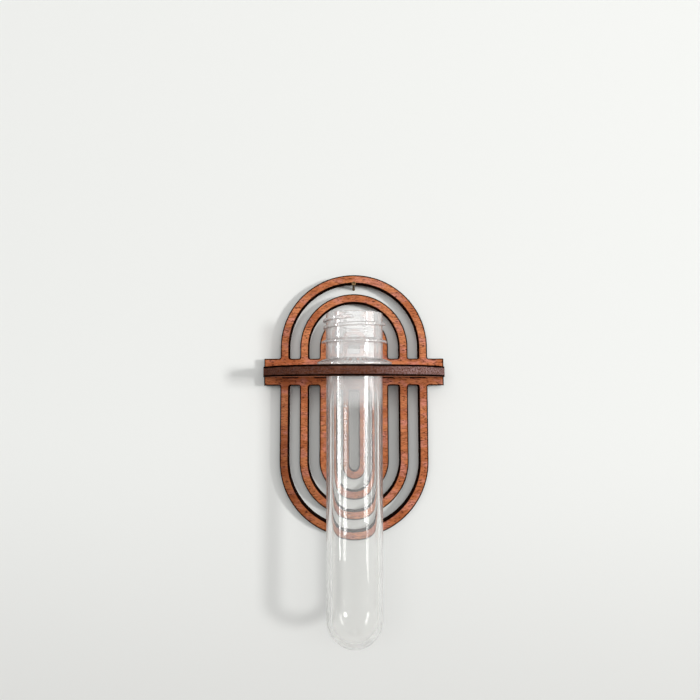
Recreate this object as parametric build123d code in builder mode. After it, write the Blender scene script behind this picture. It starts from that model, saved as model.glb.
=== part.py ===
from build123d import *
import os
from math import cos, radians, sin, tan

# Wall-hung propagation vase: a laser-cut back plate of nested pill-shaped rings, a half-round
# shelf tabbed through it, a clear screw-neck tube hanging in the shelf and the nail it all hangs on.
# Millimetres. +Z is up, +X to the right, and -Y points away from the wall into the room.
# The wall is the plane Y = 0, and the origin is where the nail's axis goes into it.

# ---- Driving dimensions ----

# Sheet that the plate and the shelf are cut from
sheet = 4.8

# Back plate: nested pill-shaped rings on one crossbar
ring_count = 4
inner_slot_width = 5.6  # open slot inside the smallest ring
bar_width = 4.1  # width of every ring's bar
gap_width = 5.2  # open gap between neighbouring rings
arch_spacing = 53.2  # from the upper arch centres down to the lower ones
crossbar_length = 85.0
crossbar_height = 12.7
joint_fillet = 0.8  # inside corners where a bar meets the crossbar

# Shelf: half-round tray, three tenons through the crossbar
shelf_below_arch = 9.4  # shelf's top face below the upper arch centres
shelf_depth = 35.8  # plate's front face to the shelf's front
shelf_side = 2.5  # straight side before the round front starts
outer_tenon_width = 6.9
outer_tenon_offset = 30.2  # middle of each outer tenon from the centre line
centre_tenon_width = 36.8
tenon_clearance = 0.05  # all round each tenon

# Tube: screw neck, support ledge, straight body with a slight draft, round end
ledge_gap = 2.5  # plate's front face to the tube's ledge
hole_clearance = 0.35  # tube body to the shelf's hole, all round
body_radius = 12.3  # just under the ledge
body_end_radius = 11.95  # where the round end starts
body_length = 117.7  # under the ledge, down to the tip
body_wall = 2.2
neck_height = 22.8  # ledge's underside up to the rim
neck_radius = 12.45
neck_bore_radius = 10.85
bore_length = 24.0  # from the rim down to where the thicker body wall starts
bore_taper = 6.0  # height over which the bore narrows to the body's inside
rim_round = 0.6
ledge_radius = 16.5
ledge_edge = 1.1  # thickness at its outer edge
ledge_root_radius = 13.3  # where its sloped top meets the step at the neck
ledge_root = 2.7  # thickness there
bead_radius = 14.3
bead_height = 9.6  # bead's flat underside above the ledge's underside
bead_edge = 0.8  # thickness at its outer edge
bead_slope = 0.9  # height of the slope above it

# Screw thread on the neck, right-handed and single-start
thread_radius = 13.7  # to the crest
thread_pitch = 3.2
thread_turns = 1.75
thread_top = 20.3  # height of its upper end above the ledge's underside
thread_root_width = 1.9
thread_crest_width = 0.9
thread_fade = 0.15  # of a turn, over which each end runs out
thread_end_rise = 0.15  # crest above the neck at the very ends
thread_bite = 0.4  # how far the thread's root reaches into the neck's wall
thread_steps_per_turn = 16

# Nail: driven in at a downward slope, so its head stands higher than its entry
nail_radius = 0.6
nail_slope = 15.0  # degrees
nail_head_radius = 1.0
nail_head_thickness = 0.6
nail_head_rim = 0.15
nail_buried = 16.0  # parallel shank inside the wall
nail_point = 2.2
nail_head_gap = 1.0  # plate's front face to the nearest edge of the head
nail_clearance = 0.05  # nail to the edge that rests on it

# ---- Places that follow from them ----

outer_radius = inner_slot_width / 2 + ring_count * bar_width + (ring_count - 1) * gap_width
nail_height_at_front = sheet * tan(radians(nail_slope)) + nail_radius / cos(radians(nail_slope))
inner_arch_top = nail_height_at_front + nail_clearance
head_tilt = nail_head_radius * sin(radians(nail_slope))  # its upper edge leans back to the plate
nail_standoff = (sheet + nail_head_gap + head_tilt) / cos(radians(nail_slope))
upper_centre = inner_arch_top - (outer_radius - bar_width)
lower_centre = upper_centre - arch_spacing
shelf_top = upper_centre - shelf_below_arch
shelf_bottom = shelf_top - sheet
crossbar_centre = shelf_top - sheet / 2
tube_y = -(sheet + ledge_gap + ledge_radius)
hole_radius = body_radius + hole_clearance
tenons = [
    (-outer_tenon_offset, outer_tenon_width),
    (0, centre_tenon_width),
    (outer_tenon_offset, outer_tenon_width),
]

# ---- Back plate ----

with BuildPart() as back_plate:
    with BuildSketch(Plane.XZ) as plate_outline:
        with Locations((0, (upper_centre + lower_centre) / 2)):
            for ring in range(ring_count):
                ring_radius = outer_radius - ring * (bar_width + gap_width)
                inner_radius = ring_radius - bar_width
                SlotCenterToCenter(arch_spacing, 2 * ring_radius, rotation=90)
                SlotCenterToCenter(arch_spacing, 2 * inner_radius, rotation=90, mode=Mode.SUBTRACT)
        with Locations((0, crossbar_centre)):
            Rectangle(crossbar_length, crossbar_height)
        crossbar_levels = plate_outline.vertices().filter_by_position(
            Axis.Y,
            crossbar_centre - crossbar_height / 2,
            crossbar_centre + crossbar_height / 2,
        )
        bar_joints = crossbar_levels.filter_by_position(
            Axis.X,
            -crossbar_length / 2,
            crossbar_length / 2,
            inclusive=(False, False),
        )
        fillet(bar_joints, radius=joint_fillet)
        for tenon_x, tenon_width in tenons:
            with Locations((tenon_x, crossbar_centre)):
                Rectangle(
                    tenon_width + 2 * tenon_clearance,
                    sheet + 2 * tenon_clearance,
                    mode=Mode.SUBTRACT,
                )
    extrude(amount=sheet)

# ---- Shelf ----

with BuildPart() as shelf:
    with BuildSketch(Plane.XY.offset(shelf_bottom)) as shelf_outline:
        half_length = crossbar_length / 2
        side_end = -(sheet + shelf_side)
        with BuildLine() as shelf_edge:
            Line((half_length, side_end), (half_length, -sheet))
            Line((half_length, -sheet), (-half_length, -sheet))
            Line((-half_length, -sheet), (-half_length, side_end))
            ThreePointArc(
                (-half_length, side_end),
                (0, -(sheet + shelf_depth)),
                (half_length, side_end),
            )
        make_face()
        for tenon_x, tenon_width in tenons:
            with Locations((tenon_x, -sheet / 2)):
                Rectangle(tenon_width, sheet)
        with Locations((0, tube_y)):
            Circle(hole_radius, mode=Mode.SUBTRACT)
    extrude(amount=sheet)

# ---- Tube ----

tube_base = Vector(0, tube_y, shelf_top)  # on its axis, at the ledge's underside
bore_end = neck_height - bore_length
inner_radius_top = body_radius - body_wall
inner_radius_end = body_end_radius - body_wall
round_end = body_end_radius - body_length  # height where the round end starts


def thread_section(turn):
    """One cross-section of the thread, turn turns along it from its lower end."""
    bearing = 360 * turn
    run_out = min(1.0, turn / thread_fade, (thread_turns - turn) / thread_fade)
    crest = neck_radius + max((thread_radius - neck_radius) * run_out, thread_end_rise)
    height = thread_top - thread_pitch * (thread_turns - turn)
    outward = Vector(cos(radians(bearing)), sin(radians(bearing)), 0)
    along = Vector(sin(radians(bearing)), -cos(radians(bearing)), 0)
    section_plane = Plane(origin=tube_base + Vector(0, 0, height), x_dir=outward, z_dir=along)
    root = neck_radius - thread_bite
    return section_plane, [
        (root, -thread_root_width / 2),
        (crest, -thread_crest_width / 2),
        (crest, thread_crest_width / 2),
        (root, thread_root_width / 2),
    ]


with BuildPart() as tube:
    tube_plane = Plane(origin=tube_base, x_dir=(1, 0, 0), z_dir=(0, -1, 0))
    with BuildSketch(tube_plane) as tube_wall:
        with BuildLine() as tube_profile:
            # outside, from the tip up to the rim
            outer_end = CenterArc((0, round_end), body_end_radius, -90, 90)
            bead_top = bead_height + bead_edge
            outside = Polyline(
                outer_end @ 1,
                (body_radius, 0),
                (ledge_radius, 0),
                (ledge_radius, ledge_edge),
                (ledge_root_radius, ledge_root),
                (neck_radius, ledge_root),
                (neck_radius, bead_height),
                (bead_radius, bead_height),
                (bead_radius, bead_top),
                (neck_radius, bead_top + bead_slope),
                (neck_radius, neck_height - rim_round),
                (neck_radius - rim_round, neck_height),
                (neck_bore_radius, neck_height),
            )
            # inside, from the rim down to the tip
            inside = Polyline(
                outside @ 1,
                (neck_bore_radius, bore_end),
                (inner_radius_top, bore_end - bore_taper),
                (inner_radius_end, round_end),
            )
            inner_end = CenterArc((0, round_end), inner_radius_end, 0, -90)
            Line(inner_end @ 1, outer_end @ 0)
        make_face()
    revolve(axis=Axis(tube_base, (0, 0, 1)))
    thread_steps = round(thread_turns * thread_steps_per_turn)
    for step in range(thread_steps + 1):
        section_plane, corners = thread_section(thread_turns * step / thread_steps)
        with BuildSketch(section_plane):
            Polygon(*corners, align=None)
    loft()

# ---- Wall nail ----

with BuildPart() as wall_nail:
    nail_axis = Vector(0, -cos(radians(nail_slope)), sin(radians(nail_slope)))
    nail_side = Vector(1, 0, 0)
    with BuildSketch(Plane(origin=(0, 0, 0), x_dir=nail_side, z_dir=nail_side.cross(nail_axis))):
        with BuildLine():
            # distances along the nail, from the wall to the head's underside and its front
            head_front = nail_standoff + nail_head_thickness
            Polyline(
                (0, -(nail_buried + nail_point)),
                (nail_radius, -nail_buried),
                (nail_radius, nail_standoff),
                (nail_head_radius, nail_standoff),
                (nail_head_radius, head_front - nail_head_rim),
                (nail_head_radius - nail_head_rim, head_front),
                (0, head_front),
                close=True,
            )
        make_face()
    revolve(axis=Axis((0, 0, 0), nail_axis))

# ---- Hand the pieces out ----

back_plate.part.label = "back_plate"
shelf.part.label = "shelf"
tube.part.label = "tube"
wall_nail.part.label = "wall_nail"

os.makedirs("parts", exist_ok=True)
export_step(back_plate.part, "parts/back_plate.step")
export_step(shelf.part, "parts/shelf.step")
export_step(tube.part, "parts/tube.step")
export_step(wall_nail.part, "parts/wall_nail.step")
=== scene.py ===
"""A wall-hung propagation vase: ringed plate, half-round shelf, clear screw-neck tube and nail.

Metres, in the row frame: +Z up, +X to the right, -Y from the wall into the room, wall at Y = 0.
"""

from math import ceil, cos, degrees, pi, radians, sin, tan

import bmesh
import bpy
from mathutils import Matrix, Vector


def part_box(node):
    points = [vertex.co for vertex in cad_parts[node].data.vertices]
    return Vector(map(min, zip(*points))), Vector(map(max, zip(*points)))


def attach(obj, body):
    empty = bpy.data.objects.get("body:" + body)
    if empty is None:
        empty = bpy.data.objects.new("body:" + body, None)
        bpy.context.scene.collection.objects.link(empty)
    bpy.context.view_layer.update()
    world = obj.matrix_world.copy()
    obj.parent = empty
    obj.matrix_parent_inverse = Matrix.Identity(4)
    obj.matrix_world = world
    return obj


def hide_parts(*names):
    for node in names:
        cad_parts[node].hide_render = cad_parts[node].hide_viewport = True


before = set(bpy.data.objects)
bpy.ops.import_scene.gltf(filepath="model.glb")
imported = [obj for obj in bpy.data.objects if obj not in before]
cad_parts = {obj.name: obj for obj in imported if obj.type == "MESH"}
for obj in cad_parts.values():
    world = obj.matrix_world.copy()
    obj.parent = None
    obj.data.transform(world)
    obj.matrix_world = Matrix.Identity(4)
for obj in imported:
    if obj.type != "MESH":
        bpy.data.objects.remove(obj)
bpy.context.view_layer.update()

MM = 0.001

# ---- Sizes ----

# Back plate and shelf, laser-cut from one sheet
RING_COUNT = 4
INNER_SLOT_WIDTH = 5.6 * MM
BAR_WIDTH = 4.1 * MM
GAP_WIDTH = 5.2 * MM
CROSSBAR_HEIGHT = 12.7 * MM
JOINT_FILLET = 0.8 * MM
OUTER_TENON_WIDTH = 6.9 * MM
OUTER_TENON_OFFSET = 30.2 * MM
CENTRE_TENON_WIDTH = 36.8 * MM
TENON_CLEARANCE = 0.05 * MM
SHELF_SIDE = 2.5 * MM
HOLE_CLEARANCE = 0.35 * MM
SQUARE_CORNER = 0.15 * MM  # what a beam leaves of a square corner
EDGE_ROUND = 0.05 * MM  # worn edge between a face and a cut wall
CHAR_WIDTH = 0.46 * MM  # black line along each cut edge of a face
SCORCH_WIDTH = 1.0 * MM  # how far browning reaches in from a cut edge

# Tube: heights are measured from the underside of its ledge
BODY_RADIUS = 12.3 * MM
BODY_END_RADIUS = 11.95 * MM
BODY_WALL = 2.2 * MM
NECK_RADIUS = 12.45 * MM
NECK_BORE_RADIUS = 10.85 * MM
BORE_LENGTH = 24.0 * MM
BORE_TAPER = 6.0 * MM
LEDGE_RADIUS = 16.5 * MM
LEDGE_EDGE = 1.1 * MM
LEDGE_ROOT_RADIUS = 13.3 * MM
LEDGE_ROOT = 2.7 * MM
LEDGE_LIFT = 0.02 * MM  # of its underside off the shelf, so that the two faces never cross
BEAD_RADIUS = 14.3 * MM
BEAD_HEIGHT = 9.6 * MM
BEAD_EDGE = 0.8 * MM
BEAD_SLOPE = 0.9 * MM
THREAD_RADIUS = 13.7 * MM
THREAD_PITCH = 3.2 * MM
THREAD_TURNS = 1.75
THREAD_TOP = 20.3 * MM
THREAD_FOOT_WIDTH = 1.66 * MM  # where its flanks meet the neck
THREAD_CREST_WIDTH = 0.9 * MM
THREAD_FADE = 0.15  # of a turn, over which each end runs out

# Tube: how its moulded corners are rounded
BODY_TOP_ROUND = 0.2 * MM
LEDGE_UNDER_ROUND = 0.3 * MM
LEDGE_UPPER_ROUND = 0.35 * MM
LEDGE_ROOT_ROUND = 0.4 * MM
NECK_FOOT_ROUND = 0.25 * MM
BEAD_UNDER_ROUND = 0.3 * MM
BEAD_UPPER_ROUND = 0.25 * MM
BEAD_ROOT_ROUND = 0.25 * MM
BEAD_SLOPE_ROUND = 0.4 * MM
RIM_OUTER_ROUND = 0.6 * MM
RIM_INNER_ROUND = 0.5 * MM
BORE_END_ROUND = 2.0 * MM
TAPER_END_ROUND = 4.0 * MM

# Nail
NAIL_RADIUS = 0.6 * MM
NAIL_SLOPE = radians(15.0)
NAIL_HEAD_RADIUS = 1.0 * MM
NAIL_HEAD_THICKNESS = 0.6 * MM
NAIL_HEAD_GAP = 1.0 * MM
NAIL_BURIED = 16.0 * MM
NAIL_POINT = 2.2 * MM
POINT_ROUND = 0.3 * MM
HEAD_ROOT_ROUND = 0.05 * MM
HEAD_UNDER_ROUND = 0.1 * MM
HEAD_FRONT_ROUND = 0.22 * MM
GRIP_COUNT = 4  # grip marks round the shank, below the head
FIRST_GRIP = 0.55 * MM
GRIP_SPACING = 0.45 * MM
GRIP_HALF_WIDTH = 0.12 * MM
GRIP_WAIST = 0.94  # share of the shank's radius that a mark leaves

# Mesh fineness
ARC_STEP = 0.35 * MM
LEAST_ARC_STEPS = 3
MOST_ARC_STEPS = 60
LEAST_RADIUS = 0.002 * MM  # of a rounded corner moved in past its centre
LEAST_ROUND_END = 1 * MM  # above this radius, two like corners in a row make one round end
SAME = 0.001 * MM  # lengths that differ by less are the same
WORN_ANGLES = (0, 30, 60, 90)  # rows round a worn edge, in degrees
WALL_ROWS = (0.08, 0.2)  # rows down a cut wall from each face, as shares of its height
THREAD_ROW = 0.1 * MM  # height of a row over the thread
TUBE_STEPS = 144
NAIL_STEPS = 48

# ---- Places that follow from the frame ----

plate_low, plate_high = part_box("back_plate")
shelf_low, shelf_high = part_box("shelf")
tube_low, tube_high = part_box("tube")
sheet = plate_high.y - plate_low.y
plate_front = plate_low.y
outer_radius = INNER_SLOT_WIDTH / 2 + RING_COUNT * BAR_WIDTH + (RING_COUNT - 1) * GAP_WIDTH
upper_centre = plate_high.z - outer_radius
lower_centre = plate_low.z + outer_radius
crossbar_half = plate_high.x
crossbar_centre = (shelf_low.z + shelf_high.z) / 2
crossbar_top = crossbar_centre + CROSSBAR_HEIGHT / 2
crossbar_bottom = crossbar_centre - CROSSBAR_HEIGHT / 2
seat = shelf_high.z
tube_y = (tube_low.y + tube_high.y) / 2
tenons = [
    (-OUTER_TENON_OFFSET, OUTER_TENON_WIDTH / 2),
    (0.0, CENTRE_TENON_WIDTH / 2),
    (OUTER_TENON_OFFSET, OUTER_TENON_WIDTH / 2),
]


# ---- Outlines ----


def arc(centre, radius, start, end):
    """Corners, with no rounding, along an arc from one angle to another, in degrees."""
    turn = radians(end - start)
    steps = ceil(abs(turn) * radius / ARC_STEP)
    angles = [radians(start) + turn * step / steps for step in range(steps + 1)]
    return [(centre.x + radius * cos(angle), centre.y + radius * sin(angle), 0) for angle in angles]


def rounded(corners, closed=True, inward=0.0):
    """The points of an outline with rounded corners (x, y, radius), moved to its left by inward.

    Every inward gives as many points, so that two such outlines can be joined by faces.
    """
    points = []
    last = len(corners) - 1
    for i, (x, y, radius) in enumerate(corners):
        corner = Vector((x, y))
        if not closed and i in (0, last):
            points.append(corner)
            continue
        back = (Vector(corners[i - 1][:2]) - corner).normalized()
        ahead = (Vector(corners[(i + 1) % (last + 1)][:2]) - corner).normalized()
        turns_left = back.cross(ahead) < 0
        left_of_ahead = Vector((-ahead.y, ahead.x))
        left = (left_of_ahead + Vector((back.y, -back.x))).normalized()
        corner += left * inward / left.dot(left_of_ahead)
        if radius == 0:
            points.append(corner)
            continue
        half = back.angle(ahead) / 2
        turn = pi - 2 * half
        steps = min(MOST_ARC_STEPS, max(LEAST_ARC_STEPS, ceil(turn * radius / ARC_STEP)))
        moved = max(LEAST_RADIUS, radius - inward) if turns_left else radius + inward
        centre = corner + (back + ahead).normalized() * moved / sin(half)
        spoke = corner + back * moved / tan(half) - centre
        # the second half of a round end starts at the point where its first half stopped
        second_half = closed and i > 0 and corners[i - 1][2] == radius > LEAST_ROUND_END
        for step in range(1 if second_half else 0, steps + 1):
            angle = turn * step / steps * (1 if turns_left else -1)
            points.append(centre + Matrix.Rotation(angle, 2) @ spoke)
    return points


def area(points):
    """Signed area of an outline, positive where it runs counter-clockwise."""
    return sum(a.cross(b) for a, b in zip(points, points[1:] + points[:1])) / 2


def turned(corners, counter_clockwise):
    """The outline's corners, in the order that runs the way that is asked for."""
    return corners if (area(rounded(corners)) > 0) == counter_clockwise else corners[::-1]


# ---- Meshes ----


def new_piece(name, bm, materials):
    """A smooth-shaded object made of a bmesh, in the row frame."""
    bmesh.ops.recalc_face_normals(bm, faces=bm.faces)
    mesh = bpy.data.meshes.new(name)
    bm.to_mesh(mesh)
    bm.free()
    mesh.shade_smooth()
    piece = bpy.data.objects.new(name, mesh)
    bpy.context.scene.collection.objects.link(piece)
    for material in materials:
        mesh.materials.append(material)
    return piece


def cut_section(thickness):
    """A cut edge from face to face: inset, depth and distance from the nearest sharp edge."""
    front = [(inset, 0.0, inset) for inset in (SCORCH_WIDTH, CHAR_WIDTH, CHAR_WIDTH / 2)]
    for angle in WORN_ANGLES:
        inset = EDGE_ROUND * (1 - sin(radians(angle)))
        depth = EDGE_ROUND * (1 - cos(radians(angle)))
        front.append((inset, depth, max(inset, depth)))
    front += [(0.0, share * thickness, share * thickness) for share in WALL_ROWS]
    back = [(inset, thickness - depth, edge) for inset, depth, edge in reversed(front)]
    return front + [(0.0, thickness / 2, thickness / 2)] + back


def cut_board(name, outer, holes, lift, thickness, materials):
    """A laser-cut board. lift(point, depth) puts an outline's point into the row frame.

    The first material is its faces', the second its black lines' and cut walls'.
    """
    bm = bmesh.new()
    edge_layer = bm.verts.layers.float.new("edge_mm")
    loops = [turned(outer, True)] + [turned(hole, False) for hole in holes]
    faces_edges = ([], [])
    section = cut_section(thickness)
    face_strips = (0, len(section) - 2)  # the first and the last strip lie on the faces
    for loop in loops:
        rows = []
        for inset, depth, edge in section:
            row = [bm.verts.new(lift(point, depth)) for point in rounded(loop, inward=inset)]
            for vert in row:
                vert[edge_layer] = edge / MM
            rows.append(row)
        count = len(rows[0])
        for strip, (upper, lower) in enumerate(zip(rows, rows[1:])):
            for i in range(count):
                j = (i + 1) % count
                face = bm.faces.new((upper[i], upper[j], lower[j], lower[i]))
                face.material_index = 0 if strip in face_strips else 1
        for edges, row in zip(faces_edges, (rows[0], rows[-1])):
            edges += [bm.edges.get((row[i - 1], row[i])) for i in range(count)]
    for edges in faces_edges:
        bmesh.ops.triangle_fill(bm, use_beauty=True, edges=edges)
    return new_piece(name, bm, materials)


def turned_piece(name, profile, place, steps, material, rise=None):
    """A piece turned about an axis from pairs of radius and height.

    rise(angle, radius, height), where given, is how much further out the surface stands there.
    """
    bm = bmesh.new()
    rows = []
    for radius, height in profile:
        if radius < SAME:
            rows.append([bm.verts.new(place @ Vector((0, 0, height)))])
            continue
        row = []
        for step in range(steps):
            angle = 2 * pi * step / steps
            reach = radius + (rise(angle, radius, height) if rise else 0.0)
            point = Vector((reach * cos(angle), reach * sin(angle), height))
            row.append(bm.verts.new(place @ point))
        rows.append(row)
    for upper, lower in zip(rows, rows[1:]):
        for i in range(steps):
            j = (i + 1) % steps
            corners = [upper[i % len(upper)], upper[j % len(upper)]]
            corners += [lower[j % len(lower)], lower[i % len(lower)]]
            bm.faces.new(list(dict.fromkeys(corners)))
    return new_piece(name, bm, [material])


# ---- Materials ----


class Nodes:
    """A short way to write a material's nodes."""

    def __init__(self, tree):
        self.tree = tree
        self.tree.nodes.clear()

    def add(self, kind, settings=None, **inputs):
        """A node of that kind. Each input, by its name or as _number, gets a value or an output."""
        node = self.tree.nodes.new("ShaderNode" + kind)
        for key, value in (settings or {}).items():
            setattr(node, key, value)
        for key, value in inputs.items():
            self.feed(node, int(key[1:]) if key[0] == "_" else key.replace("_", " "), value)
        return node

    def feed(self, node, key, value):
        """Gives an input a value, or the output that it reads."""
        if isinstance(value, bpy.types.NodeSocket):
            self.tree.links.new(value, node.inputs[key])
        else:
            node.inputs[key].default_value = value

    def maths(self, operation, a, b=0.0, c=0.0, clamp=False):
        """Sum, product or other result of up to three numbers."""
        settings = {"operation": operation, "use_clamp": clamp}
        return self.add("Math", settings, _0=a, _1=b, _2=c).outputs[0]

    def ramp(self, value, low, high, to_low=0.0, to_high=1.0):
        """A number that eases from to_low to to_high as value goes from low to high."""
        settings = {"interpolation_type": "SMOOTHSTEP"}
        node = self.add("MapRange", settings, _0=value, _1=low, _2=high, _3=to_low, _4=to_high)
        return node.outputs[0]

    def mix(self, factor, a, b, blend="MIX"):
        """A mix of two colours."""
        node = self.add("Mix", {"data_type": "RGBA", "blend_type": blend}, _0=factor, _6=a, _7=b)
        return node.outputs[2]

    def layer(self, under, over, level, start, full, strength=1.0):
        """A colour laid over another where a level is past start, at full strength past full."""
        return self.mix(self.ramp(level, start, full, 0.0, strength), under, over)

    def noise(self, place, scale, detail, roughness=0.55, distortion=0.0):
        """Noise over a place. scale is about how often it changes in a metre, along each axis."""
        stretched = self.add("Mapping", _0=place, Scale=scale).outputs[0]
        node = self.add(
            "TexNoise",
            Vector=stretched,
            Scale=1.0,
            Detail=detail,
            Roughness=roughness,
            Distortion=distortion,
        )
        return node.outputs[0]

    def relief(self, height, distance, strength):
        """A bump from a height, for a shader's Normal."""
        return self.add("Bump", Strength=strength, Distance=distance, Height=height).outputs[0]


def new_material(name):
    """A named material, the nodes to fill it with, and the place of each point at rest."""
    material = bpy.data.materials.new(name)
    material.use_nodes = True
    nodes = Nodes(material.node_tree)
    return material, nodes, nodes.add("TexCoord").outputs["Object"]


def srgb(red, green, blue):
    """A colour as a picture shows it, 0 to 255, as linear light."""
    channels = [value / 255 for value in (red, green, blue)]
    linear = [v / 12.92 if v <= 0.04045 else ((v + 0.055) / 1.055) ** 2.4 for v in channels]
    return (*linear, 1.0)


VENEER_LIGHT = srgb(224, 144, 96)
VENEER_DARK = srgb(192, 110, 66)
VENEER_PINK = srgb(216, 140, 120)
VENEER_RIBBON = srgb(150, 78, 38)
VENEER_GRAIN = srgb(122, 58, 28)
VENEER_PORE = srgb(66, 24, 10)
VENEER_ROUGH = (0.42, 0.62)
VENEER_SHINE = 0.1
VENEER_RELIEF = 0.06 * MM
# This and other groups of three numbers below: how often a noise changes in a metre, along each axis
PATCHES = (70, 130, 130)
PINK_PATCHES = (120, 210, 210)
RIBBONS = (150, 900, 900)
GRAIN = (450, 2000, 2000)
FLECKS = (560, 1700, 1700)
LOWER_LEFT_PAINTED_SHADE = srgb(200, 188, 170)  # painted shade: how much darker and redder the sheet is painted at its lower left, where shadow falls
PAINTED_SHADE_SLOPE = 0.5  # the painted shade starts where X plus this slope times Z is less than the next value
PAINTED_SHADE_EDGE = -52 * MM
PAINTED_SHADE_FULL = -80 * MM

# Along each cut edge of a face, with distances from that edge in millimetres
SCORCHED = srgb(100, 48, 24)
CHARRED = srgb(13, 4, 2)
FRAY = (1300, 1300, 1300)
FACE_FRAY = 0.5
SCORCH_FADE = (0.62, 1.05)
CHAR_FADE = (0.58, 0.78)

# On the cut walls: a pair is the dark and the light colour, or the left and the right end
# both are burnt; the plate's walls are painted darker than the shelf's, as painted shade for its
# deep narrow gaps
PLATE_CUT_BURNT_AND_SHADED = (srgb(18, 8, 5), srgb(42, 22, 14))
SHELF_CUT = (srgb(70, 35, 21), srgb(104, 59, 37))
CUT_SHINE = 0.0  # soot is matt, also where it is seen at a slant
CUT_RELIEF = 0.1 * MM
CUT_FRAY = 0.4
CORNER_FADE = (0.80, 1.25)  # where the black of their corners ends, in millimetres
CUT_ROUGH = (0.42, 0.62)
BEAM_LINES = (90, 1500)  # how often they change in a metre, through the sheet and along the cut
BURN_BANDS = (2200, 260)
SPECKS = (1500, 1500, 1500)
# pale ash specks, also laid on as painted sheen at the shelf's right end
ASH_AND_SHEEN = srgb(156, 128, 126)
PLATE_ASH = (0.04, 0.04)  # its share at the left and at the right end
# painted sheen: the shelf's ash share rises to its right end, standing in for the light from the
# right on its curved front edge
SHELF_ASH_AND_SHEEN = (0.22, 1.0)
ASH_SHEEN_START = 2 * MM  # where, along X, the ash share starts to rise towards the right end, as painted sheen
ASH_SHEEN_END = 28 * MM

PET = srgb(251, 251, 250)
PET_IOR = 1.57
PET_ROUGH = (0.012, 0.07)  # as moulded, and where it is rubbed
PET_RELIEF = 0.6 * MM
RIPPLE = (160, 160, 45)
RUBBING = (420, 420, 130)
PET_CLARITY = (0.97, 0.76)  # of the body and, from a little below the shelf, of the top
HAZE_FOOT = 20 * MM  # where the haze of the top starts, below the ledge
HAZE_FULL = 12 * MM
PET_LIT = (0.99, 0.99, 0.99, 1.0)  # light that each surface lets through, square on
PET_SHADE = (0.70, 0.70, 0.70, 1.0)  # and at a slant
PET_SHADE_SLANT = (0.04, 0.45)

STEEL_BRIGHT = srgb(112, 92, 64)
STEEL_BLOOM = srgb(66, 48, 28)
STEEL_ROUGH = (0.28, 0.55)
STEEL_RELIEF = 0.03 * MM
BLOOM = (900, 900, 900)
DRAWN_LINES = (5000, 250, 5000)

# painted light: the wall is painted paler towards the top, standing in for light that falls off
# downwards
WALL_HIGH = srgb(242, 243, 240)
WALL_LOW = srgb(224, 224, 221)
WALL_FADE = (-0.24, -0.06)  # heights at which it is all low and all high
WALL_RELIEF = 0.2 * MM
MOTTLE = (900, 900, 900)


def oiled_veneer(name):
    """Oiled red-brown veneer with short dark grain along X, browned and black at its cut edges."""
    material, nodes, place = new_material(name)
    patches = nodes.noise(place, PATCHES, detail=3)
    pink = nodes.noise(place, PINK_PATCHES, detail=2)
    ribbons = nodes.noise(place, RIBBONS, detail=4, distortion=0.5)
    grain = nodes.noise(place, GRAIN, detail=5, roughness=0.7)
    pores = nodes.ramp(nodes.noise(place, FLECKS, detail=2), 0.57, 0.66)
    colour = nodes.layer(VENEER_DARK, VENEER_LIGHT, patches, 0.34, 0.66)
    colour = nodes.layer(colour, VENEER_PINK, pink, 0.47, 0.66, 0.85)
    colour = nodes.layer(colour, VENEER_RIBBON, ribbons, 0.42, 0.68, 0.45)
    colour = nodes.layer(colour, VENEER_GRAIN, grain, 0.47, 0.66, 0.75)
    colour = nodes.mix(nodes.maths("MULTIPLY", pores, 0.85), colour, VENEER_PORE)

    # painted shade: the sheet is darkened and reddened towards its lower left, where shadow falls
    axes = nodes.add("SeparateXYZ", _0=place)
    lower_left = nodes.maths("MULTIPLY_ADD", axes.outputs[2], PAINTED_SHADE_SLOPE, axes.outputs[0])
    painted_shade = nodes.ramp(lower_left, PAINTED_SHADE_EDGE, PAINTED_SHADE_FULL)
    colour = nodes.mix(painted_shade, colour, LOWER_LEFT_PAINTED_SHADE, "MULTIPLY")

    edge = nodes.add("Attribute", {"attribute_name": "edge_mm"}).outputs["Fac"]
    fray = nodes.noise(place, FRAY, detail=3)
    frayed = nodes.maths("ADD", edge, nodes.maths("MULTIPLY", fray, FACE_FRAY))
    colour = nodes.mix(nodes.ramp(frayed, *SCORCH_FADE, 0.5, 0.0), colour, SCORCHED)
    colour = nodes.mix(nodes.ramp(frayed, *CHAR_FADE, 1.0, 0.0), colour, CHARRED)

    raised = nodes.maths("MULTIPLY", grain, 0.5)
    sunk = nodes.maths("MULTIPLY", pores, 0.8)
    bump = nodes.relief(nodes.maths("SUBTRACT", raised, sunk), VENEER_RELIEF, strength=0.4)
    rough = nodes.ramp(grain, 0.3, 0.7, *VENEER_ROUGH)
    shader = nodes.add("BsdfPrincipled", Base_Color=colour, Roughness=rough, Normal=bump)
    shader.inputs["Specular IOR Level"].default_value = VENEER_SHINE
    nodes.add("OutputMaterial", Surface=shader.outputs[0])
    return material


def cut_scale(axis, through, along):
    """A noise's scale on a cut wall: through is for the axis of the sheet's thickness."""
    return tuple(through if i == axis else along for i in range(3))


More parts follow.
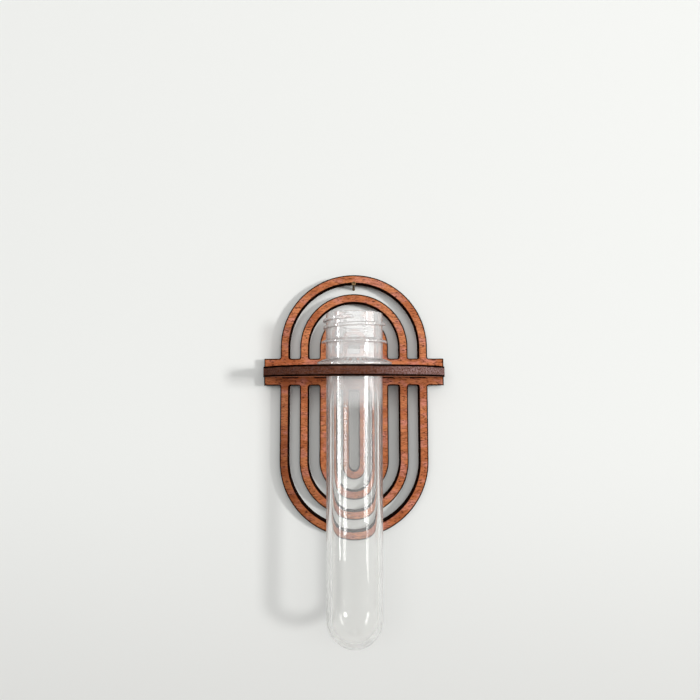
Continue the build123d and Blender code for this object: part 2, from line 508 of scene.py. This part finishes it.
def charred_cut(name, axis, dark, light, ash_and_sheen):
    """A burnt cut: black along its corners, with fine beam lines through the sheet, and pale ash
    specks.

    axis is the sheet's thickness, 0, 1 or 2. The last argument is the share of ash specks at the
    left and at the right; a rise to the right paints sheen.

    axis is the sheet's thickness, 0, 1 or 2. ashy is the share of ash at the left and at the right.
    """
    material, nodes, place = new_material(name)
    lines = nodes.noise(place, cut_scale(axis, *BEAM_LINES), detail=3)
    bands = nodes.noise(place, cut_scale(axis, *BURN_BANDS), detail=3)
    specks = nodes.noise(place, SPECKS, detail=6, roughness=0.75)
    colour = nodes.layer(dark, light, bands, 0.32, 0.70)
    colour = nodes.layer(colour, dark, lines, 0.45, 0.75, 0.35)

    to_right = nodes.add("SeparateXYZ", _0=place).outputs[0]
    # real ash where the share stays low, painted sheen where it rises to the right
    share = nodes.ramp(to_right, ASH_SHEEN_START, ASH_SHEEN_END, *ash_and_sheen)
    ash_sheen_mask = nodes.maths("MULTIPLY", nodes.ramp(specks, 0.38, 0.62), share)
    colour = nodes.mix(ash_sheen_mask, colour, ASH_AND_SHEEN)

    edge = nodes.add("Attribute", {"attribute_name": "edge_mm"}).outputs["Fac"]
    frayed = nodes.maths("ADD", edge, nodes.maths("MULTIPLY", bands, CUT_FRAY))
    colour = nodes.mix(nodes.ramp(frayed, *CORNER_FADE, 1.0, 0.0), colour, CHARRED)

    bump = nodes.relief(lines, CUT_RELIEF, strength=0.4)
    rough = nodes.ramp(specks, 0.3, 0.7, *CUT_ROUGH)
    shader = nodes.add("BsdfPrincipled", Base_Color=colour, Roughness=rough, Normal=bump)
    shader.inputs["Specular IOR Level"].default_value = CUT_SHINE
    nodes.add("OutputMaterial", Surface=shader.outputs[0])
    return material


def clear_plastic(name):
    """Clear PET with a faint moulded ripple, a few rubbed patches and a haze at its top.

    Light for other pieces goes straight through, and less of it where the wall is slanted.
    """
    material, nodes, place = new_material(name)
    height = nodes.add("SeparateXYZ", _0=place).outputs[2]
    clarity = nodes.ramp(height, seat - HAZE_FOOT, seat - HAZE_FULL, *PET_CLARITY)
    ripple = nodes.noise(place, RIPPLE, detail=2)
    rubbing = nodes.noise(place, RUBBING, detail=5, roughness=0.65)
    shader = nodes.add(
        "BsdfPrincipled",
        Base_Color=PET,
        Roughness=nodes.ramp(rubbing, 0.45, 0.85, *PET_ROUGH),
        Normal=nodes.relief(ripple, PET_RELIEF, strength=0.06),
        IOR=PET_IOR,
        Transmission_Weight=clarity,
    )
    slant = nodes.add("LayerWeight", Blend=0.5).outputs["Facing"]
    through = nodes.layer(PET_LIT, PET_SHADE, slant, *PET_SHADE_SLANT)
    straight = nodes.add("BsdfTransparent", Color=through)
    path = nodes.add("LightPath").outputs
    unseen = nodes.maths("ADD", path["Is Shadow Ray"], path["Is Diffuse Ray"], clamp=True)
    surface = nodes.add("MixShader", _0=unseen, _1=shader.outputs[0], _2=straight.outputs[0])
    nodes.add("OutputMaterial", Surface=surface.outputs[0])
    return material


def dull_steel(name):
    """Dull wire steel with a brown bloom."""
    material, nodes, place = new_material(name)
    bloom = nodes.noise(place, BLOOM, detail=5, roughness=0.65)
    lines = nodes.noise(place, DRAWN_LINES, detail=2)
    shader = nodes.add(
        "BsdfPrincipled",
        Base_Color=nodes.layer(STEEL_BRIGHT, STEEL_BLOOM, bloom, 0.42, 0.68),
        Roughness=nodes.ramp(bloom, 0.35, 0.7, *STEEL_ROUGH),
        Metallic=1.0,
        Normal=nodes.relief(lines, STEEL_RELIEF, strength=0.3),
    )
    nodes.add("OutputMaterial", Surface=shader.outputs[0])
    return material


def wall_paint(name):
    """Plain pale paint, with painted light: paler towards the top. Its back is see-through, for
    views from behind.
    """
    material, nodes, place = new_material(name)
    height = nodes.add("SeparateXYZ", _0=place).outputs[2]
    # painted light: paler towards the top
    colour = nodes.layer(WALL_LOW, WALL_HIGH, height, *WALL_FADE)
    bump = nodes.relief(nodes.noise(place, MOTTLE, detail=3), WALL_RELIEF, strength=0.05)
    paint = nodes.add("BsdfDiffuse", Color=colour, Normal=bump)
    clear = nodes.add("BsdfTransparent")
    behind = nodes.add("NewGeometry").outputs["Backfacing"]
    surface = nodes.add("MixShader", _0=behind, _1=paint.outputs[0], _2=clear.outputs[0])
    nodes.add("OutputMaterial", Surface=surface.outputs[0])
    return material


# ---- Back plate ----


def arch(radius, centre, bar_edge, away):
    """Corners of one side of a ring or gap, from the right over its round end to the left."""
    top = centre + away * radius
    return [
        (radius, bar_edge, JOINT_FILLET),
        (radius, top, radius),
        (-radius, top, radius),
        (-radius, bar_edge, JOINT_FILLET),
    ]


def box_outline(middle, half_width, low, high):
    """A rectangle, its corners as sharp as a beam leaves them."""
    left, right = middle - half_width, middle + half_width
    corners = [(left, low), (right, low), (right, high), (left, high)]
    return [(x, y, SQUARE_CORNER) for x, y in corners]


def plate_piece(materials):
    """The back plate: rings on a crossbar, with three mortises."""
    ends = ((upper_centre, crossbar_top, 1), (lower_centre, crossbar_bottom, -1))
    upper, lower = (arch(outer_radius, *end) for end in ends)
    right, left = crossbar_half, -crossbar_half
    outer = (
        [(right, crossbar_bottom, SQUARE_CORNER), (right, crossbar_top, SQUARE_CORNER)]
        + upper
        + [(left, crossbar_top, SQUARE_CORNER), (left, crossbar_bottom, SQUARE_CORNER)]
        + lower[::-1]
    )
    holes = []
    for end in ends:
        for ring in range(RING_COUNT):
            radius = outer_radius - ring * (BAR_WIDTH + GAP_WIDTH) - BAR_WIDTH
            hole = arch(radius, *end)
            if ring < RING_COUNT - 1:
                hole += arch(radius - GAP_WIDTH, *end)[::-1]
            holes.append(hole)
    mortise_half = sheet / 2 + TENON_CLEARANCE
    low, high = crossbar_centre - mortise_half, crossbar_centre + mortise_half
    for middle, half_width in tenons:
        holes.append(box_outline(middle, half_width + TENON_CLEARANCE, low, high))

    def lift(point, depth):
        return Vector((point.x, plate_front + depth, point.y))

    return cut_board("ringed_plate", outer, holes, lift, sheet, materials)


# ---- Shelf ----


def shelf_piece(materials):
    """The shelf: a half-round tray with the tube's hole and three tenons."""
    half = crossbar_half
    side_end = plate_front - SHELF_SIDE
    depth = side_end - shelf_low.y
    front_radius = (half**2 + depth**2) / (2 * depth)
    front_centre = Vector((0, shelf_low.y + front_radius))
    to_side_end = Vector((half, side_end)) - front_centre
    reach = abs(degrees(to_side_end.angle_signed(Vector((0, -1)))))
    front = arc(front_centre, front_radius, -90 - reach, -90 + reach)
    back = [(half, plate_front, SQUARE_CORNER)]
    for middle, half_width in reversed(tenons):
        back += [
            (middle + half_width, plate_front, 0),
            (middle + half_width, 0.0, SQUARE_CORNER),
            (middle - half_width, 0.0, SQUARE_CORNER),
            (middle - half_width, plate_front, 0),
        ]
    back.append((-half, plate_front, SQUARE_CORNER))
    hole = arc(Vector((0, tube_y)), BODY_RADIUS + HOLE_CLEARANCE, 0, 360)[:-1]

    def lift(point, depth):
        return Vector((point.x, point.y, shelf_high.z - depth))

    thickness = shelf_high.z - shelf_low.z
    return cut_board("half_round_shelf", front + back, [hole], lift, thickness, materials)


# ---- Tube ----


def thread_rise(angle, radius, height):
    """How far the thread stands out of the neck's outside, at a height above the ledge."""
    rise = 0.0
    if radius < NECK_RADIUS - SAME:
        return rise
    for whole in range(ceil(THREAD_TURNS)):
        turn = angle / (2 * pi) + whole
        if turn > THREAD_TURNS:
            continue
        middle = THREAD_TOP - THREAD_PITCH * (THREAD_TURNS - turn)
        away = abs(height - middle)
        flank = (THREAD_FOOT_WIDTH / 2 - away) / ((THREAD_FOOT_WIDTH - THREAD_CREST_WIDTH) / 2)
        flank = min(1.0, max(0.0, flank))
        run_out = min(1.0, turn / THREAD_FADE, (THREAD_TURNS - turn) / THREAD_FADE)
        rise = max(rise, (THREAD_RADIUS - NECK_RADIUS) * run_out * flank * flank * (3 - 2 * flank))
    return rise


def tube_piece(material):
    """The clear tube: round end, body, ledge, bead and threaded neck, hollow to the bottom."""
    tip = tube_low.z - seat
    rim = tube_high.z - seat
    bore_end = rim - BORE_LENGTH
    bead_top = BEAD_HEIGHT + BEAD_EDGE
    thread_low = THREAD_TOP - THREAD_PITCH * THREAD_TURNS - THREAD_FOOT_WIDTH / 2
    thread_high = THREAD_TOP + THREAD_FOOT_WIDTH / 2
    inner_top = BODY_RADIUS - BODY_WALL
    inner_end = BODY_END_RADIUS - BODY_WALL
    outside = rounded(
        [
            (0.0, tip, 0),
            (BODY_END_RADIUS, tip, BODY_END_RADIUS),
            (BODY_RADIUS, LEDGE_LIFT, BODY_TOP_ROUND),
            (LEDGE_RADIUS, LEDGE_LIFT, LEDGE_UNDER_ROUND),
            (LEDGE_RADIUS, LEDGE_EDGE, LEDGE_UPPER_ROUND),
            (LEDGE_ROOT_RADIUS, LEDGE_ROOT, LEDGE_ROOT_ROUND),
            (NECK_RADIUS, LEDGE_ROOT, NECK_FOOT_ROUND),
            (NECK_RADIUS, BEAD_HEIGHT, BEAD_ROOT_ROUND),
            (BEAD_RADIUS, BEAD_HEIGHT, BEAD_UNDER_ROUND),
            (BEAD_RADIUS, bead_top, BEAD_UPPER_ROUND),
            (NECK_RADIUS, bead_top + BEAD_SLOPE, BEAD_SLOPE_ROUND),
            (NECK_RADIUS, thread_low, 0),
        ],
        closed=False,
    )
    rows = ceil((thread_high - thread_low) / THREAD_ROW)
    neck = [
        Vector((NECK_RADIUS, thread_low + (thread_high - thread_low) * row / rows))
        for row in range(1, rows + 1)
    ]
    inside = rounded(
        [
            (NECK_RADIUS, thread_high, 0),
            (NECK_RADIUS, rim, RIM_OUTER_ROUND),
            (NECK_BORE_RADIUS, rim, RIM_INNER_ROUND),
            (NECK_BORE_RADIUS, bore_end, BORE_END_ROUND),
            (inner_top, bore_end - BORE_TAPER, TAPER_END_ROUND),
            (inner_end, tip + BODY_WALL, inner_end),
            (0.0, tip + BODY_WALL, 0),
        ],
        closed=False,
    )
    profile = outside + neck + inside[1:]
    place = Matrix.Translation((0, tube_y, seat))
    return turned_piece("screw_neck_tube", profile, place, TUBE_STEPS, material, thread_rise)


# ---- Nail ----


def nail_piece(material):
    """The nail, head up and out of the wall."""
    head_tilt = NAIL_HEAD_RADIUS * sin(NAIL_SLOPE)
    under_head = (sheet + NAIL_HEAD_GAP + head_tilt) / cos(NAIL_SLOPE)
    head_front = under_head + NAIL_HEAD_THICKNESS
    grips = []
    for grip in reversed(range(GRIP_COUNT)):
        height = under_head - (FIRST_GRIP + GRIP_SPACING * grip)
        grips += [
            (NAIL_RADIUS, height - GRIP_HALF_WIDTH, 0),
            (NAIL_RADIUS * GRIP_WAIST, height, 0),
            (NAIL_RADIUS, height + GRIP_HALF_WIDTH, 0),
        ]
    profile = rounded(
        [
            (0.0, -(NAIL_BURIED + NAIL_POINT), 0),
            (NAIL_RADIUS, -NAIL_BURIED, POINT_ROUND),
            *grips,
            (NAIL_RADIUS, under_head, HEAD_ROOT_ROUND),
            (NAIL_HEAD_RADIUS, under_head, HEAD_UNDER_ROUND),
            (NAIL_HEAD_RADIUS, head_front, HEAD_FRONT_ROUND),
            (0.0, head_front, 0),
        ],
        closed=False,
    )
    out_of_wall = Vector((0, -cos(NAIL_SLOPE), sin(NAIL_SLOPE)))
    place = out_of_wall.to_track_quat("Z", "X").to_matrix().to_4x4()
    return turned_piece("round_head_nail", profile, place, NAIL_STEPS, material)


# ---- Stage, lights and camera ----

WALL_BEHIND = 0.3 * MM  # wall's plane behind the plate's back
WALL_REACH = 1.6
BACKDROP = srgb(240, 240, 238)
ROOM_LEVEL = 0.27  # even light from all round, in front of the wall
BEHIND_LEVEL = 0.8  # and from behind it, where only back views see what it lights
BEHIND_FADE = (0.0, 0.15)  # how much a direction points into the wall, from the one to the other
LAMP_TARGET = Vector((0.0, -0.02, -0.06))
# Each lamp's turn to the right off the wall's normal and its rise, in degrees, then its distance,
# width and height in metres and its power in watts
LAMPS = {
    "key": (46.5, 2.5, 3.2, 0.32, 0.45, 50.0),
    "front": (3, 15, 2.6, 3.5, 1.1, 35.0),
    "left_window": (-58, 5, 1.2, 0.55, 1.04, 2.4),
    "left_line": (-70, 5, 1.15, 0.14, 1.04, 6.5),
    "key_line": (49, -4, 1.15, 0.30, 0.42, 5.4),
    "right_window": (64, 10, 1.2, 0.5, 0.94, 6.5),
    "right_line": (80, 10, 1.15, 0.12, 0.94, 2.7),
}
GLOSS_LAMPS = ("left_window", "left_line", "key_line", "right_window", "right_line")
BROAD_LAMPS = ("key", "front", "left_window", "right_window")

CAMERA_PLACE = Vector((-2.391, -251.727, -46.528)) * MM
CAMERA_SENSOR = 36  # millimetres, as the lens
CAMERA_LENS = 26.74
CAMERA_PITCH = radians(4.970)
CAMERA_YAW = radians(0.129)
CAMERA_ROLL = radians(0.093)
CAMERA_NEAR = 5 * MM
PICTURE_SIDE = 700  # pixels
AXIS_ABOVE_MIDDLE = 10.525  # from the picture's middle up to the optical axis


def wall_stage():
    """The wall that the part hangs on. It takes shadows, throws no light back and stops none."""
    bm = bmesh.new()
    corners = [(-1, -1), (1, -1), (1, 1), (-1, 1)]
    bm.faces.new([bm.verts.new((x * WALL_REACH, WALL_BEHIND, z * WALL_REACH)) for x, z in corners])
    mesh = bpy.data.meshes.new("wall")
    bm.to_mesh(mesh)
    bm.free()
    mesh.materials.append(wall_paint("wall_paint"))
    wall = bpy.data.objects.new("wall", mesh)
    bpy.context.scene.collection.objects.link(wall)
    wall.visible_diffuse = False
    wall.visible_shadow = False


def room_light():
    """A white surround, which cameras, gloss and clear pieces see as a pale backdrop."""
    world = bpy.data.worlds.new("room")
    bpy.context.scene.world = world
    world.use_nodes = True
    nodes = Nodes(world.node_tree)
    inwards = nodes.add("SeparateXYZ", _0=nodes.add("TexCoord").outputs["Generated"]).outputs[1]
    level = nodes.ramp(inwards, *BEHIND_FADE, ROOM_LEVEL, BEHIND_LEVEL)
    light = nodes.add("Background", Color=(1, 1, 1, 1), Strength=level)
    seen = nodes.add("Background", Color=BACKDROP, Strength=1.0)
    path = nodes.add("LightPath").outputs
    by_camera = nodes.maths("ADD", path["Is Camera Ray"], path["Is Transmission Ray"])
    by_any = nodes.maths("ADD", by_camera, path["Is Glossy Ray"], clamp=True)
    surface = nodes.add("MixShader", _0=by_any, _1=light.outputs[0], _2=seen.outputs[0])
    nodes.add("OutputWorld", Surface=surface.outputs[0])


def add_lamp(name, turn, rise, distance, width, height, power):
    """A soft lamp that looks at the part.

    The gloss lamps light no dull surface. The broad ones aren't seen through the clear tube.
    """
    lamp = bpy.data.lights.new(name, "AREA")
    lamp.shape = "RECTANGLE"
    lamp.size = width
    lamp.size_y = height
    lamp.energy = power
    holder = bpy.data.objects.new(name, lamp)
    bpy.context.scene.collection.objects.link(holder)
    turn, rise = radians(turn), radians(rise)
    towards = Vector((sin(turn) * cos(rise), -cos(turn) * cos(rise), sin(rise)))
    holder.location = LAMP_TARGET + towards * distance
    holder.rotation_euler = towards.to_track_quat("Z", "Y").to_euler()
    holder.visible_camera = False
    holder.visible_diffuse = name not in GLOSS_LAMPS
    holder.visible_transmission = name not in BROAD_LAMPS


def photo_camera():
    """The camera at the photograph's viewing angle."""
    level_part = cos(CAMERA_PITCH)
    ahead = Vector((sin(CAMERA_YAW) * level_part, cos(CAMERA_YAW) * level_part, sin(CAMERA_PITCH)))
    level = Vector((cos(CAMERA_YAW), -sin(CAMERA_YAW), 0))
    upright = level.cross(ahead)
    right = level * cos(CAMERA_ROLL) - upright * sin(CAMERA_ROLL)
    up = upright * cos(CAMERA_ROLL) + level * sin(CAMERA_ROLL)
    data = bpy.data.cameras.new("camera")
    data.sensor_width = CAMERA_SENSOR
    data.lens = CAMERA_LENS
    data.shift_y = -AXIS_ABOVE_MIDDLE / PICTURE_SIDE
    data.clip_start = CAMERA_NEAR
    camera = bpy.data.objects.new("camera", data)
    bpy.context.scene.collection.objects.link(camera)
    axes = Matrix((right, up, -ahead)).transposed()
    camera.matrix_world = Matrix.Translation(CAMERA_PLACE) @ axes.to_4x4()
    bpy.context.scene.camera = camera


# ---- Make it ----

photo_camera()
wall_stage()
room_light()
for lamp_name, lamp_values in LAMPS.items():
    add_lamp(lamp_name, *lamp_values)
bpy.context.scene.view_settings.view_transform = "Standard"

veneer = oiled_veneer("oiled_veneer")
plate = plate_piece([veneer, charred_cut("plate_cut", 1, *PLATE_CUT_BURNT_AND_SHADED, PLATE_ASH)])
shelf = shelf_piece([veneer, charred_cut("shelf_cut", 2, *SHELF_CUT, SHELF_ASH_AND_SHEEN)])
tube = tube_piece(clear_plastic("clear_pet"))
nail = nail_piece(dull_steel("nail_steel"))
for piece, node, body, slot in (
    (plate, "back_plate", "holder", "wood_face"),
    (shelf, "shelf", "holder", "wood_shelf"),
    (tube, "tube", "vase_tube", "clear_tube"),
    (nail, "wall_nail", "nail", "nail_steel"),
):
    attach(piece, body)
    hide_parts(node)
